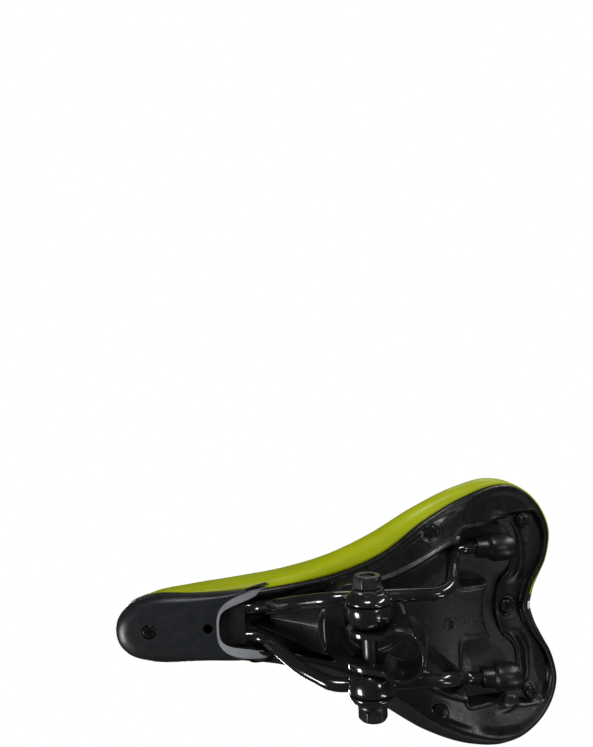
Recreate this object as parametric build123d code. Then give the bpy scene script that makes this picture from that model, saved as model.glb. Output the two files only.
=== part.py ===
from build123d import *
import math
import os

# A bicycle saddle on its seatpost clamp, in millimetres.
# +X points to the nose, +Y to the rider's left, +Z up. The origin is the centre of the collar's bore.
# The rails and the saddle are level. The collar leans, as a seatpost does: its lower end is forward.

# ---------------------------------------------------------------- driving dimensions
NOSE_X = 152.0            # front of the nose
TAIL_X = -99.5            # back of the two rear lobes
COVER_T = 1.6             # synthetic leather
BOARD_T = 2.0             # inner board
BASE_T = 3.2              # moulded base
Z_LOW = -60.0             # well below the saddle, for trimming solids
Z_HIGH = 120.0            # well above it
HALF_SPAN = 95.0          # wider than the saddle's half width

POST_R = 11.1             # bore of the collar, for a 22.2 mm seatpost
COLLAR_WALL = 1.6
COLLAR_LEN = 26.0
COLLAR_TILT = 15.0        # degrees that the seatpost leans from vertical
EAR_IN = 7.0              # half gap between the ears
EAR_T = 2.6
EAR_R = 11.5              # rounded front end of each ear

BOLT_R = 4.0              # M8
BOLT_OFFSET = 15.6        # bolt axis to seatpost axis
BOLT_HALF = 34.6
NUT_AF = 13.0
NUT_H = 6.5
WASHER_R = 8.0
WASHER_T = 1.6
BOLT_HOLE_R = 4.2

RAIL_R = 3.5
RAIL_Y = 22.0             # half the rail spacing in the clamp
RAIL_Z = 12.8
GROOVE_R = 3.8
CHEEK_R = 12.0
CHEEK_NECK_R = 5.6        # small end of the inner cheek, at the collar's ear
CHEEK_FLARE_Y = 17.0      # where it reaches its full radius
CHEEK_SPLIT_Y = 22.0      # the grooves meet on this plane
CHEEK_GAP = 0.3           # left between the two cheeks, so that they grip the rail
OUTER_CHEEK_Y = 27.5      # outer face of the outer cheek

SOCKET_X = -53.0          # mouth of the rear socket
SOCKET_END_X = -76.0
SOCKET_Y = 36.5
SOCKET_Z = 48.5
SOCKET_R = 8.0
RAIL_END_X = -71.0
RAIL_HOLE_R = 3.55        # moulded sockets that hold the rails' ends
POCKET_X = (-78.0, -34.0)  # recess in the base round each rear socket
POCKET_Y = (17.0, 52.0)
POCKET_ROOF_Z = 58.0
POCKET_WALL = 2.4

ANCHOR_X = (80.0, 94.0)   # block that holds the rails' front ends
ANCHOR_HALF_Y = 12.0
ANCHOR_Z = (46.6, 56.8)
RAIL_NOSE_Y = 8.0
RAIL_NOSE_Z = 51.8

NOSE_COVER_X = 67.0       # tips of the nose cover's two legs
NOSE_COVER_Z = 42.0       # its flat bottom
NOSE_COVER_TOP = 48.7     # where it meets the synthetic leather
NOSE_COVER_T = 2.4
CUT_FRONT_X = 95.5        # innermost point of the U-shaped cut-out

SCREW_HEAD_R = 3.7
SCREW_HEAD_H = 1.6
SCREW_R = 1.7
SCREW_LEN = 7.0
NOSE_SCREW_LEN = 13.0
SCREW_SPOTS = [(-25.0, 49.0), (-25.0, -49.0), (-84.0, 49.0), (-84.0, -49.0), (-72.0, 0.0)]
NOSE_SCREW_X = 133.0
NOSE_HOLE_X = 100.4
NOSE_HOLE_R = 2.7
BOSS_R = 5.2

# ---------------------------------------------------------------- profiles along the saddle
# Each is a list of (x, value). The lofts turn their straight runs into smooth surfaces.
HALF_WIDTH = [(-104, 75.2), (-64, 75.2), (-43, 72.0), (-18, 61.9), (8, 46.7), (33, 34.7), (58, 27.4),
              (85, 23.3), (110, 20.6), (133, 17.4), (156, 17.0)]
CROWN_Z = [(-104, 79.0), (-85, 85.0), (-64, 84.5), (-43, 80.0), (-18, 74.0), (8, 71.5), (33, 72.0),
           (58, 74.0), (85, 75.5), (110, 75.5), (133, 73.0), (156, 64.0)]
EDGE_Z = [(-104, 62.0), (-85, 60.0), (-64, 54.5), (-43, 48.5), (-18, 45.5), (8, 49.0), (33, 56.0),
          (58, 61.0), (85, 62.5), (110, 61.5), (133, 59.0), (156, 56.0)]
RIM_Z = [(-104, 57.0), (-85, 53.5), (-64, 47.0), (-43, 41.5), (-18, 38.5), (8, 40.0), (33, 44.5),
         (58, 48.5), (85, 49.4), (156, 49.4)]
RIM_IN = [(-104, 4.0), (-43, 4.0), (-18, 6.0), (8, 8.5), (33, 7.0), (58, 5.0), (85, 4.0), (110, 3.0),
          (156, 2.5)]
PANEL_Z = [(-104, 56.5), (-72, 56.5), (-55, 51.5), (-40, 47.5), (-18, 46.0), (8, 45.0), (33, 44.0),
           (58, 54.5), (70, 57.5), (156, 57.5)]
WING_Z = [(-104, 57.0), (-85, 53.6), (-64, 47.5), (-43, 39.5), (-25, 35.2), (8, 38.0), (33, 43.5),
          (58, 50.0), (85, 57.5), (156, 57.5)]

# Plan outline of the left half, from the middle of the tail notch round to the front of the nose.
OUTLINE = [(-86.5, 0.0), (-88.3, 8.0), (-93.0, 19.0), (-97.8, 31.0), (TAIL_X, 43.0), (-96.0, 54.5),
           (-88.0, 65.0), (-76.0, 72.5), (-64.0, 75.2), (-43.0, 72.0), (-18.0, 61.9), (8.0, 46.7),
           (33.0, 34.7), (58.0, 27.4), (85.0, 23.3), (110.0, 20.6), (133.0, 17.4), (145.5, 12.6),
           (150.6, 6.6), (NOSE_X, 0.0)]

# Colour boundaries on the cover, in plan, from tail to nose.
BLACK_EDGE = [(-110.0, -0.8), (-88.0, -1.2), (-50.0, -8.3), (0.0, -13.5), (60.0, -16.5), (100.0, -20.0),
              (118.0, -26.0)]
WHITE_EDGE = [(-110.0, 4.0), (-88.0, 3.2), (-50.0, -3.2), (0.0, -8.6), (60.0, -12.6), (100.0, -16.4),
              (122.0, -26.0)]
BAND_EDGE = [(-110.0, 8.4), (-88.0, 7.2), (-50.0, 0.9), (0.0, -4.4), (60.0, -8.8), (100.0, -13.0),
             (126.0, -26.0)]

STATIONS = [-104, -85, -64, -43, -18, 8, 33, 58, 85, 110, 133, 156]
CROWN_FRACTIONS = [-0.92, -0.7, -0.36, 0.0, 0.36, 0.7, 0.92]

os.makedirs("parts", exist_ok=True)


# ---------------------------------------------------------------- helpers
def along(profile, x):
    """The profile's value at x, in straight runs between its points."""
    if x <= profile[0][0]:
        return profile[0][1]
    for (xa, va), (xb, vb) in zip(profile, profile[1:]):
        if x <= xb:
            t = (x - xa) / (xb - xa)
            return va + (vb - va) * t
    return profile[-1][1]


def cylinder_between(start, end, radius):
    """A solid rod from one point to another."""
    direction = Vector(*end) - Vector(*start)
    plane = Plane(origin=Vector(*start), z_dir=direction)
    return extrude(plane * Circle(radius), amount=direction.length)


def closed_face(edges):
    return Face(Wire(edges))


def line_through(*points):
    return [Line(a, b) for a, b in zip(points, points[1:])]


def one_solid(shape):
    """The largest solid of a result, without the crumbs that a cut can leave."""
    return max(shape.solids(), key=lambda s: s.volume)


def keep_big(shape, share=0.01):
    """All solids of a result that are worth keeping."""
    solids = shape.solids()
    biggest = max(s.volume for s in solids)
    return Compound(children=[s for s in solids if s.volume > biggest * share])


def mirrored(shape):
    return mirror(shape, about=Plane.XZ)


def write(name, shape):
    export_step(shape, f"parts/{name}.step")


# ---------------------------------------------------------------- the saddle's outer form
def outer_section(x, inset):
    """Cross-section at x: crowned top, widest edge, flanks that lean in to the rim, open far below."""
    width = along(HALF_WIDTH, x) - inset
    crown = along(CROWN_Z, x) - inset
    edge = along(EDGE_Z, x)
    rim = along(RIM_Z, x)
    rim_half = width - along(RIM_IN, x)
    top = []
    for f in CROWN_FRACTIONS:
        height = (1.0 - abs(f) ** 2.4) ** (1.0 / 1.7)
        top.append((x, f * width, edge + (crown - edge) * height))
    curve = Spline((x, -rim_half, rim), (x, -width, edge), *top, (x, width, edge), (x, rim_half, rim))
    sides = line_through((x, rim_half, rim), (x, rim_half, Z_LOW), (x, -rim_half, Z_LOW),
                         (x, -rim_half, rim))
    return closed_face([curve, *sides])


def plan_prism(inset):
    """Everything inside the plan outline, moved in by the inset."""
    ring = OUTLINE + [(x, -y) for x, y in reversed(OUTLINE[1:-1])]
    moved = []
    for i, (x, y) in enumerate(ring):
        before = ring[i - 1]
        after = ring[(i + 1) % len(ring)]
        run_x = after[0] - before[0]
        run_y = after[1] - before[1]
        run = math.hypot(run_x, run_y)
        moved.append((x + inset * run_y / run, y - inset * run_x / run))
    outline = closed_face([Spline(*moved, periodic=True)])
    return extrude(Pos(0, 0, Z_LOW) * outline, amount=Z_HIGH - Z_LOW, dir=(0, 0, 1))


def outer(inset):
    """The solid inside the cover's outer surface, moved in by the inset."""
    body = loft([outer_section(x, inset) for x in STATIONS])
    return one_solid(body & plan_prism(inset))


def under_section(x, lift):
    """Cross-section of the space below the base: panel in the middle, wings outside a crease."""
    panel = along(PANEL_Z, x) + lift
    wing = along(WING_Z, x) + lift
    rim = along(RIM_Z, x) + lift
    if x > 70:
        rim = wing
    width = along(HALF_WIDTH, x) - along(RIM_IN, x)
    points = [(0.0, panel), (0.3, panel), (0.52, panel + (wing - panel) * 0.55), (0.72, wing),
              (0.86, wing + (rim - wing) * 0.25), (1.0, rim), (1.25, rim + (rim - wing) * 0.3)]
    half = [(x, f * width, z) for f, z in points]
    other = [(x, -y, z) for _, y, z in reversed(half[1:])]
    curve = Spline(*other, *half)
    last = half[-1]
    first = other[0]
    sides = line_through(last, (x, HALF_SPAN + 20, last[2]), (x, HALF_SPAN + 20, Z_LOW),
                         (x, -HALF_SPAN - 20, Z_LOW), (x, -HALF_SPAN - 20, first[2]), first)
    return closed_face([curve, *sides])


def under(lift):
    """The space below the base's lower surface, raised by the lift."""
    return loft([under_section(x, lift) for x in STATIONS])


def below_rim():
    """The space below the lower edge of the cover."""
    faces = []
    for x in STATIONS:
        rim = along(RIM_Z, x)
        corners = [(x, -HALF_SPAN, Z_LOW), (x, HALF_SPAN, Z_LOW), (x, HALF_SPAN, rim), (x, -HALF_SPAN, rim)]
        faces.append(closed_face(line_through(*corners, corners[0])))
    return loft(faces, ruled=True)


# ---------------------------------------------------------------- cover, pad and board
def panel_prism(edge_a, edge_b):
    """The part of the plan between two colour boundaries; None stands for the side of the saddle."""
    far = HALF_SPAN + 20
    a = edge_a or [(-110.0, -far), (126.0, -far)]
    b = edge_b or [(-110.0, far), (170.0, far)]
    if edge_b is None:
        a = a + [(170.0, -26.0)]
    line_a = Spline(*a[:7]) if len(a) >= 7 else Line(*a)
    edges = [line_a]
    if edge_b is None:
        edges.append(Line(a[6], a[7]))
    edges.append(Line(a[-1], b[-1]))
    edges.append(Spline(*reversed(b)) if len(b) > 2 else Line(*reversed(b)))
    edges.append(Line(b[0], a[0]))
    face = closed_face(edges)
    return extrude(Pos(0, 0, Z_LOW) * face, amount=Z_HIGH - Z_LOW, dir=(0, 0, 1))


def cover_panels(shell):
    """The four panels of the cover."""
    return {
        "cover_colour_panel": keep_big(shell & panel_prism(BAND_EDGE, None)),
        "cover_dark_band": keep_big(shell & panel_prism(WHITE_EDGE, BAND_EDGE)),
        "cover_white_stripe": keep_big(shell & panel_prism(BLACK_EDGE, WHITE_EDGE)),
        "cover_black_panel": keep_big(shell & panel_prism(None, BLACK_EDGE)),
    }


# ---------------------------------------------------------------- rails, sockets and anchor
def rail_path():
    """Centre line of the left rail, from its rear end to its front end."""
    points = [
        (RAIL_END_X, SOCKET_Y, SOCKET_Z),
        (-41.0, SOCKET_Y, SOCKET_Z),
        (-29.0, RAIL_Y, RAIL_Z),
        (34.0, RAIL_Y, RAIL_Z),
        (50.0, 17.4, 25.4),
        (71.5, RAIL_NOSE_Y, RAIL_NOSE_Z),
        (ANCHOR_X[1] - 2.0, RAIL_NOSE_Y, RAIL_NOSE_Z),
    ]
    return FilletPolyline(*points, radius=[9.0, 13.0, 16.0, 42.0, 12.0])


def rail():
    path = rail_path()
    profile = Plane(origin=path @ 0, z_dir=path % 0) * Circle(RAIL_R)
    return sweep(profile, path=path)


def rail_hole(x_start, x_end, y, z):
    return cylinder_between((x_start, y, z), (x_end, y, z), RAIL_HOLE_R)


def nose_anchor():
    """Moulded block inside the nose that both rails plug into from behind."""
    size_x = ANCHOR_X[1] - ANCHOR_X[0]
    size_z = ANCHOR_Z[1] - ANCHOR_Z[0]
    block = Box(size_x, 2 * ANCHOR_HALF_Y, size_z)
    block = fillet(block.edges().filter_by(Axis.X), 2.0)
    block = Pos(sum(ANCHOR_X) / 2, 0, sum(ANCHOR_Z) / 2) * block
    for side in (1, -1):
        block = block - rail_hole(ANCHOR_X[0] - 1, ANCHOR_X[1] - 1.9, side * RAIL_NOSE_Y, RAIL_NOSE_Z)
    return one_solid(block)


# ---------------------------------------------------------------- screws
def screw(x, y, z, length):
    """A pan-head screw that points up; z is the lower face of its head."""
    head = Pos(x, y, z + SCREW_HEAD_H / 2) * Cylinder(SCREW_HEAD_R, SCREW_HEAD_H)
    head = fillet(head.edges().sort_by(Axis.Z)[0], 0.7)
    shank = Pos(x, y, z + SCREW_HEAD_H + length / 2) * Cylinder(SCREW_R, length)
    cross = Pos(x, y, z + 0.5) * (Box(4.2, 0.9, 1.0) + Box(0.9, 4.2, 1.0))
    return one_solid(head + shank - cross)


def screw_hole(x, y, z):
    """Pilot bore for a screw's shank and the sink for its head."""
    bore = Pos(x, y, z + 15) * Cylinder(SCREW_R + 0.05, 30)
    sink = Pos(x, y, z - 10 + SCREW_HEAD_H) * Cylinder(SCREW_HEAD_R + 0.4, 20)
    return bore + sink


def screw_seat(x, y):
    """Height of a base screw's head: just under the base's lower surface there."""
    width = along(HALF_WIDTH, x) - along(RIM_IN, x)
    f = abs(y) / width
    if f < 0.3:
        return along(PANEL_Z, x) - 0.2
    wing = along(WING_Z, x)
    return wing + (along(RIM_Z, x) - wing) * max(0.0, (f - 0.72) / 0.28) - 0.2


# ---------------------------------------------------------------- base and nose cover
def box_between(x_range, y_range, z_range):
    low = Vector(x_range[0], y_range[0], z_range[0])
    size = Vector(x_range[1], y_range[1], z_range[1]) - low
    return Pos(*(low + size / 2)) * Box(*size)


def pocket(side, wall):
    """The recess round a rear socket, grown by a wall; side is 1 for left and -1 for right."""
    y_near = POCKET_Y[0] - wall
    y_far = POCKET_Y[1] + wall
    y_range = (y_near, y_far) if side > 0 else (-y_far, -y_near)
    x_range = (POCKET_X[0] - wall, POCKET_X[1] + wall)
    return box_between(x_range, y_range, (0.0, POCKET_ROOF_Z + wall))


def socket_boss(side):
    """Tube in the pocket that the rail's rear end plugs into, with the web that hangs it."""
    y = side * SOCKET_Y
    back = POCKET_X[0] - 1.0
    tube = cylinder_between((back, y, SOCKET_Z), (SOCKET_X, y, SOCKET_Z), SOCKET_R)
    web = box_between((back, SOCKET_X), (y - 3.0, y + 3.0), (SOCKET_Z, POCKET_ROOF_Z + 1.0))
    return tube + web - rail_hole(RAIL_END_X - 0.1, SOCKET_X + 1, y, SOCKET_Z)


def nose_region():
    return box_between((60.0, 170.0), (-40.0, 40.0), (40.0, 70.0))


def base_shell():
    """Moulded base: plate, pockets with sockets, side walls along the nose, and screw bosses."""
    base = outer_base & (under_board - under_base)
    walls = (outer_base - outer(COVER_T + 0.3 + BASE_T)) & under_board & nose_region()
    base = base + (walls - rim_space)
    for side in (1, -1):
        base = base - pocket(side, POCKET_WALL)
        box = pocket(side, POCKET_WALL) - pocket(side, 0.0)
        base = base + (box - under_base)
        base = base + socket_boss(side)
    for x, y in SCREW_SPOTS:
        seat = screw_seat(x, y)
        base = base + (Pos(x, y, seat + 3.0) * Cylinder(BOSS_R, 6.0) & under_board)
        base = base - screw_hole(x, y, seat)
    post = Pos(NOSE_SCREW_X, 0, NOSE_COVER_TOP + 5.1) * Cylinder(BOSS_R, 10.0)
    base = base + (post & under_board) - screw_hole(NOSE_SCREW_X, 0, NOSE_COVER_Z)
    return one_solid(base)


def nose_cover():
    """Boat-shaped cover: flat bottom, sides up to the leather, and a U-shaped cut-out behind."""
    wall_in = 2.7
    middle = 120.0
    behind = (NOSE_COVER_X, 2 * middle - NOSE_COVER_X)
    body = plan_prism(wall_in) & box_between(behind, (-30, 30), (NOSE_COVER_Z, NOSE_COVER_TOP))
    body = one_solid(body)
    bottom = body.faces().sort_by(Axis.Z)[0]
    rounded = [e for e in bottom.edges() if e.center().X > NOSE_COVER_X + 1]
    body = chamfer(rounded, 2.2)
    hollow = plan_prism(wall_in + NOSE_COVER_T)
    room = box_between((NOSE_COVER_X - 5, 2 * middle), (-30, 30), (NOSE_COVER_Z + NOSE_COVER_T, 70))
    body = body - (hollow & room)
    back = NOSE_COVER_X - 2
    half_cut = [(back, 17.5), (80.0, 14.0), (91.5, 9.5), (CUT_FRONT_X, 0.0)]
    curve = Spline(*half_cut, *[(x, -y) for x, y in reversed(half_cut[:-1])])
    cut = closed_face([curve, Line((back, -17.5), (back, 17.5))])
    body = body - extrude(Pos(0, 0, 30) * cut, amount=40, dir=(0, 0, 1))
    pillar = Pos(NOSE_SCREW_X, 0, (NOSE_COVER_Z + NOSE_COVER_TOP) / 2)
    body = body + pillar * Cylinder(BOSS_R, NOSE_COVER_TOP - NOSE_COVER_Z)
    body = body - Pos(NOSE_HOLE_X, 0, NOSE_COVER_Z) * Cylinder(NOSE_HOLE_R, 10)
    return one_solid(body - screw_hole(NOSE_SCREW_X, 0, NOSE_COVER_Z + 0.3))


# ---------------------------------------------------------------- seatpost clamp
def tilted(shape):
    """Leans a shape of the collar, so that the lower end of its axis is forward."""
    return shape.rotate(Axis.Y, -COLLAR_TILT)


def bolt_position():
    lean = math.radians(COLLAR_TILT)
    return BOLT_OFFSET * math.cos(lean), BOLT_OFFSET * math.sin(lean)


def seatpost_collar():
    """A strap round the seatpost whose two ends run forward as flat ears."""
    ring = Cylinder(POST_R + COLLAR_WALL, COLLAR_LEN)
    width = 2 * (EAR_IN + EAR_T)
    ears = box_between((0.0, BOLT_OFFSET), (-width / 2, width / 2), (-COLLAR_LEN / 2, COLLAR_LEN / 2))
    tip = Pos(BOLT_OFFSET, 0, 0) * (Rot(90, 0, 0) * Cylinder(EAR_R, width))
    taper = Plane.XZ * Polygon((8.0, COLLAR_LEN), (8.0, COLLAR_LEN / 2), (BOLT_OFFSET, EAR_R),
                               (40.0, EAR_R), (40.0, COLLAR_LEN), align=None)
    corner = extrude(taper, amount=40, both=True)
    strap = ring + ears + tip - corner - mirror(corner, about=Plane.XY)
    gap = Pos(25, 0, 0) * Box(50, 2 * EAR_IN, COLLAR_LEN + 2)
    bore = Cylinder(POST_R, COLLAR_LEN + 2)
    hole = Pos(BOLT_OFFSET, 0, 0) * (Rot(90, 0, 0) * Cylinder(BOLT_HOLE_R, 80))
    return one_solid(tilted(strap - gap - bore - hole))


def across(radius, y_start, y_end):
    """A cylinder on the bolt's axis between two values of y."""
    bx, bz = bolt_position()
    return cylinder_between((bx, y_start, bz), (bx, y_end, bz), radius)


def bolt_cone(r_start, r_end, y_start, y_end):
    bx, bz = bolt_position()
    a = Plane(origin=(bx, y_start, bz), z_dir=(0, 1, 0)) * Circle(r_start)
    b = Plane(origin=(bx, y_end, bz), z_dir=(0, 1, 0)) * Circle(r_end)
    return loft([a, b])


def rail_groove():
    """The straight channel that both cheeks share round the rail."""
    return cylinder_between((-40, RAIL_Y, RAIL_Z), (60, RAIL_Y, RAIL_Z), GROOVE_R)


def inner_cheek():
    """Conical cheek between the collar's ear and the rail."""
    start = EAR_IN + EAR_T + 0.05
    end = CHEEK_SPLIT_Y - CHEEK_GAP
    cone = bolt_cone(CHEEK_NECK_R, CHEEK_R, start, CHEEK_FLARE_Y)
    disc = across(CHEEK_R, CHEEK_FLARE_Y, end)
    hole = across(BOLT_HOLE_R, start - 1, end + 1)
    return one_solid(cone + disc - hole - rail_groove())


def outer_cheek():
    """Domed cheek outside the rail."""
    start = CHEEK_SPLIT_Y + CHEEK_GAP
    disc = across(CHEEK_R, start, start + 1.6)
    cone = bolt_cone(CHEEK_R, WASHER_R, start + 1.6, OUTER_CHEEK_Y)
    bx, bz = bolt_position()
    hood = Pos(bx, start + 2.0, RAIL_Z) * Box(2 * 11.0, 4.0, 7.4)
    hole = across(BOLT_HOLE_R, start - 1, OUTER_CHEEK_Y + 1)
    return one_solid(disc + cone + hood - hole - rail_groove())


def clamp_bolt():
    return chamfer(across(BOLT_R, -BOLT_HALF, BOLT_HALF).edges(), 0.6)


def washer():
    ring = across(WASHER_R, OUTER_CHEEK_Y, OUTER_CHEEK_Y + WASHER_T)
    return ring - across(BOLT_HOLE_R, OUTER_CHEEK_Y - 1, OUTER_CHEEK_Y + WASHER_T + 1)


def nut():
    """Hexagon nut with both ends chamfered; its bore clears the bolt's thread."""
    start = OUTER_CHEEK_Y + WASHER_T
    bx, bz = bolt_position()
    plane = Plane(origin=(bx, start, bz), x_dir=(1, 0, 0), z_dir=(0, 1, 0))
    hexagon = extrude(plane * RegularPolygon(NUT_AF / 2, 6, major_radius=False), amount=NUT_H)
    corner = NUT_AF / math.sqrt(3)
    turned = bolt_cone(corner - 1.2, corner - 0.1, start, start + 1.0)
    turned = turned + across(corner - 0.1, start + 1.0, start + NUT_H - 1.0)
    turned = turned + bolt_cone(corner - 0.1, corner - 1.2, start + NUT_H - 1.0, start + NUT_H)
    bore = across(BOLT_R + 0.08, start - 1, start + NUT_H + 1)
    return one_solid((hexagon & turned) - bore)


# ---------------------------------------------------------------- build every piece
outer_pad = outer(COVER_T)
outer_base = outer(COVER_T + 0.3)
under_base = under(0.0)
under_board = under(BASE_T)
under_foam = under(BASE_T + BOARD_T)
rim_space = below_rim()

cover_shell = one_solid(outer(0.0) - outer_pad - rim_space)
foam_pad = outer_pad - under_foam - rim_space
top_board = outer(COVER_T + 2.5) & (under_foam - under_board)
for side in (1, -1):
    foam_pad = foam_pad - pocket(side, POCKET_WALL + 0.1)
    top_board = top_board - pocket(side, POCKET_WALL + 0.1)
screws = []
for x, y in SCREW_SPOTS:
    seat = screw_seat(x, y)
    screws.append(screw(x, y, seat, SCREW_LEN))
    foam_pad = foam_pad - screw_hole(x, y, seat)
    top_board = top_board - screw_hole(x, y, seat)

for name, shape in cover_panels(cover_shell).items():
    write(name, shape)
write("foam_pad", one_solid(foam_pad))
write("top_board", one_solid(top_board))
write("base_shell", base_shell())
write("base_screws", Compound(children=screws))
write("nose_cover", nose_cover())
write("nose_screw", screw(NOSE_SCREW_X, 0, NOSE_COVER_Z + 0.3, NOSE_SCREW_LEN))
write("nose_anchor", nose_anchor())
write("seatpost_collar", seatpost_collar())
write("clamp_bolt", clamp_bolt())
pairs = {"rail": rail, "inner_cheek": inner_cheek, "outer_cheek": outer_cheek, "washer": washer, "nut": nut}
for name, maker in pairs.items():
    piece = maker()
    write(f"{name}_left", piece)
    write(f"{name}_right", mirrored(piece))
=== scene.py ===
import bmesh
import bpy
import math
import numpy as np
from mathutils import Matrix, Vector

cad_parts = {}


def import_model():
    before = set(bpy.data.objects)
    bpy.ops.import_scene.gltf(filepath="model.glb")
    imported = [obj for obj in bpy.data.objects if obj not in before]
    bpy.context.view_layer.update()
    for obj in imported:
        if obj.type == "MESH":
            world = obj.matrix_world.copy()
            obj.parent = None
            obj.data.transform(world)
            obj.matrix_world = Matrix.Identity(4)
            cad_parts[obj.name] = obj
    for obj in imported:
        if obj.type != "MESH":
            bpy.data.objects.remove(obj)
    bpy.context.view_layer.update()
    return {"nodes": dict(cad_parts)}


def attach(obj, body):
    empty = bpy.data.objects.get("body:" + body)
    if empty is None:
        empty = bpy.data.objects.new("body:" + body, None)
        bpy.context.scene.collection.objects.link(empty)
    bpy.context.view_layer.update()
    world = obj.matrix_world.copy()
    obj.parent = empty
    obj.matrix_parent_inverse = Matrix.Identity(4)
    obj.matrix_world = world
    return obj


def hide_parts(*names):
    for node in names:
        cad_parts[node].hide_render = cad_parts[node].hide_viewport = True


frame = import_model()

# The looks of a bicycle saddle with its seatpost clamp. Lengths are written in millimetres and made
# into metres when a mesh is built. +X is the nose, +Y the rider's left, +Z up.

MM = 0.001

# ---------------------------------------------------------------- the saddle's form
NOSE_X = 152.0
TAIL_X = -99.5

# Profiles along the saddle, as (x, value).
CROWN_Z = [(-104, 79.0), (-85, 85.0), (-64, 84.5), (-43, 80.0), (-18, 74.0), (8, 71.5), (33, 72.0),
           (58, 74.0), (85, 75.5), (110, 75.5), (133, 73.0), (156, 64.0)]
EDGE_Z = [(-104, 62.0), (-85, 60.0), (-64, 54.5), (-43, 48.5), (-18, 45.5), (8, 49.0), (33, 56.0),
          (58, 61.0), (85, 62.5), (110, 61.5), (133, 59.0), (156, 56.0)]
RIM_Z = [(-104, 57.0), (-85, 53.5), (-64, 47.0), (-43, 41.5), (-18, 38.5), (8, 40.0), (33, 44.5),
         (58, 48.5), (85, 49.4), (156, 49.4)]
RIM_IN = [(-104, 0.0), (-85, 0.0), (-76, 0.5), (-64, 2.3), (-43, 4.2), (-18, 6.0), (8, 8.5), (33, 7.0),
          (58, 5.0), (85, 4.0), (110, 3.0), (156, 2.5)]

# Plan outline of the left half, from the middle of the tail notch round to the front of the nose.
OUTLINE = [(-86.5, 0.0), (-88.3, 8.0), (-93.0, 19.0), (-97.8, 31.0), (TAIL_X, 43.0), (-96.0, 54.5),
           (-88.0, 65.0), (-76.0, 72.5), (-64.0, 75.2), (-43.0, 72.0), (-18.0, 61.9), (8.0, 46.7),
           (33.0, 34.7), (58.0, 27.4), (85.0, 23.3), (110.0, 20.6), (133.0, 17.4), (145.5, 12.6),
           (150.6, 6.6), (NOSE_X, 0.0)]
HALF_COUNT = 360          # points on the left half of each ring
SPINE_TAIL = (-82.0, -60.0)   # stretch of the centre line that the tail's points face
SPINE_NOSE = (126.0, 137.0)   # and the one that the nose's points face
SPINE_WINDOW = 9          # points averaged to smooth it
NOTCH_IN = 2.2            # the rim lies this much further in at the tail notch
NOTCH_Y = (8.0, 26.0)     # and comes back out between these

# ---------------------------------------------------------------- cover, foam and board
COVER_T = 1.6
CROWN_POWER = 2.4         # roundness of the crown across the saddle
CROWN_ROOT = 1.7
CROWN_STEPS = 26
HEM = [(3.2, 1.6), (1.0, 0.25)]  # the turned-in hem, as (in from the rim, above it)
FLANK_RISE = 0.7          # the flank's curve starts this far above the rim
FLANK_STEPS = 8
SEAM_DEPTH = 0.2
SEAM_LOWEST_Z = 50.0      # the hem below this stays smooth

# Colour boundaries on the cover, in plan, from tail to nose.
BLACK_EDGE = [(-110.0, -0.8), (-88.0, -1.2), (-50.0, -8.3), (0.0, -13.5), (60.0, -16.5), (100.0, -20.0),
              (118.0, -26.0)]
WHITE_EDGE = [(-110.0, 4.0), (-88.0, 3.2), (-50.0, -3.2), (0.0, -8.6), (60.0, -12.6), (100.0, -16.4),
              (122.0, -26.0)]
BAND_EDGE = [(-110.0, 8.4), (-88.0, 7.2), (-50.0, 0.9), (0.0, -4.4), (60.0, -8.8), (100.0, -13.0),
             (126.0, -26.0)]
BOUNDARIES = (BLACK_EDGE, WHITE_EDGE, BAND_EDGE)

PAD_DROP = 1.9            # the foam lies just inside the cover
PAD_IN = 5.0              # its lower edge, in from the rim
PAD_RISE = 6.5            # and above it
PAD_FLOOR_Z = 62.0
PAD_FLOOR_RINGS = (0.33, 0.66)
BOARD_T = 1.2
BOARD_IN = 3.0
BOARD_RISE = 3.8
BOARD_Z = 60.0
BOARD_RINGS = 26
BOARD_MIDDLE = 0.04       # share of the width that the last ring closes to

# ---------------------------------------------------------------- moulded base
BASE_T = 2.2
BASE_STEPS = 104
BASE_BORDER = [(0.0, 2.2), (0.1, 0.9), (0.5, -0.1), (1.2, -0.7), (2.1, -0.95), (3.2, -0.9)]
BORDER_BLEND = 0.07       # share of the width over which the border runs into the moulded forms
RIM_GROOVE = [(-104, 0.3), (-80, 0.5), (-60, 1.2), (156, 1.2)]  # from the cover's rim in to the base
PANEL_Z = [(-104, 57.5), (-72, 57.0), (-60, 51.5), (-40, 46.0), (-18, 43.5), (-10, 43.5), (160, 43.5)]
WING_Z = [(-104, 57.0), (-85, 53.6), (-64, 47.5), (-43, 39.5), (-25, 35.2), (8, 38.0), (33, 43.5),
          (52, 48.5), (62, 52.5), (85, 54.5), (156, 54.5)]
CREASE_Y = [(-104, 56.0), (-70, 54.0), (-46, 44.5), (-36, 41.0), (-15, 30.5), (1, 23.5), (12, 21.5),
            (24, 21.0), (40, 24.0), (60, 23.0), (160, 16.0)]
CREASE_WALL = (-4.0, 0.4)
FRONT_ROOF = 58.5         # roof ahead of the panel
FRONT_X = (24.0, 40.0)

RIDGE_HEIGHT = 1.6        # soft ridge along the crease
RIDGE_OUT = 1.0
RIDGE_WIDTH = 1.5
RIDGE_START = (-50.0, -40.0)
RIDGE_END = (2.0, 14.0)

HUMP_HALF = [(30, 15.0), (36, 13.5), (54, 8.8), (72, 4.2), (78, 3.0)]
HUMP_RIDGE = [(26, 29.5), (36, 31.0), (54, 43.0), (72, 54.0), (80, 58.0)]
HUMP_VALLEY = [(26, 30.0), (36, 35.5), (54, 48.5), (72, 59.0), (80, 60.0)]
HUMP_POWER = 1.3          # roundness of the valley between its two ridges
HUMP_SIDE = 2.0
HUMP_START = (30.0, 36.0)
HUMP_END = (73.0, 78.0)

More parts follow.
